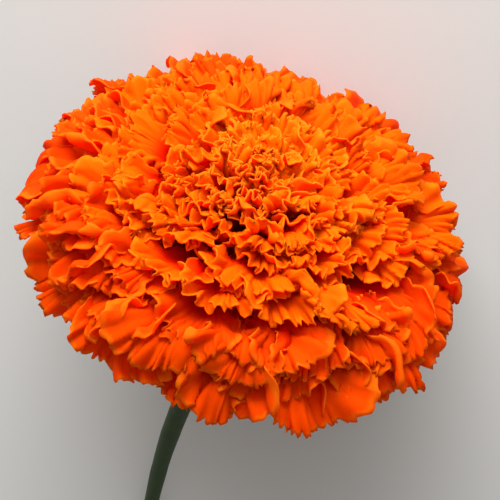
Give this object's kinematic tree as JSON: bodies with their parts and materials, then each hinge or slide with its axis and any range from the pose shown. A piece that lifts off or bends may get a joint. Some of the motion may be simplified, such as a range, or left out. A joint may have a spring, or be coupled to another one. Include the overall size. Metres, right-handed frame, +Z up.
{
  "type": "marigold flower",
  "caption": "Fully double African marigold bloom with ruffled orange ray petals in nested rings, a green toothed cup and a short cut stem, lying on its rim petals and stem end.",
  "frame": {"origin": "On the floor, under the middle of the object's box. The lowest petals and the lower side of the cut stem end are at Z = 0.", "axes": "+Z is up. The stem runs towards +Y and down to the floor. The face of the bloom looks towards -Y and up. +X is the bloom's right seen from its stem."},
  "size_m": [0.0838, 0.11, 0.0769],
  "materials": {
    "petal_outer": "soft matte petal, deep orange to red-orange, ruffled paler edge",
    "petal_inner": "soft matte petal, bright orange, ruffled paler edge",
    "petal_eye": "soft matte small curled petal, yellow-orange",
    "involucre": "smooth waxy green cup, ribbed, with darker gland dots",
    "stem": "smooth finely ribbed dark green stem"
  },
  "bodies": {
    "root": {"ring1_petal_1": "petal_outer", "ring1_petal_2": "petal_outer", "ring1_petal_3": "petal_outer", "ring1_petal_4": "petal_outer", "ring1_petal_5": "petal_outer", "ring1_petal_6": "petal_outer", "ring1_petal_7": "petal_outer", "ring1_petal_8": "petal_outer", "ring2_petal_1": "petal_outer", "ring2_petal_2": "petal_outer", "ring2_petal_3": "petal_outer", "ring2_petal_4": "petal_outer", "ring2_petal_5": "petal_outer", "ring2_petal_6": "petal_outer", "ring2_petal_7": "petal_outer", "ring2_petal_8": "petal_outer", "ring2_petal_9": "petal_outer", "ring3_petal_1": "petal_outer", "ring3_petal_2": "petal_outer", "ring3_petal_3": "petal_outer", "ring3_petal_4": "petal_outer", "ring3_petal_5": "petal_outer", "ring3_petal_6": "petal_outer", "ring3_petal_7": "petal_outer", "ring3_petal_8": "petal_outer", "ring4_petal_1": "petal_outer", "ring4_petal_2": "petal_outer", "ring4_petal_3": "petal_outer", "ring4_petal_4": "petal_outer", "ring4_petal_5": "petal_outer", "ring4_petal_6": "petal_outer", "ring4_petal_7": "petal_outer", "ring4_petal_8": "petal_outer", "ring5_petal_1": "petal_inner", "ring5_petal_2": "petal_inner", "ring5_petal_3": "petal_inner", "ring5_petal_4": "petal_inner", "ring5_petal_5": "petal_inner", "ring5_petal_6": "petal_inner", "ring5_petal_7": "petal_inner", "ring6_petal_1": "petal_inner", "ring6_petal_2": "petal_inner", "ring6_petal_3": "petal_inner", "ring6_petal_4": "petal_inner", "ring6_petal_5": "petal_inner", "ring6_petal_6": "petal_inner", "ring7_petal_1": "petal_inner", "ring7_petal_2": "petal_inner", "ring7_petal_3": "petal_inner", "ring7_petal_4": "petal_inner", "ring7_petal_5": "petal_inner", "ring8_petal_1": "petal_eye", "ring8_petal_2": "petal_eye", "ring8_petal_3": "petal_eye", "ring8_petal_4": "petal_eye", "ring9_petal_1": "petal_eye", "ring9_petal_2": "petal_eye", "ring9_petal_3": "petal_eye", "involucre": "involucre", "stem": "stem"}
  },
  "joints": []
}
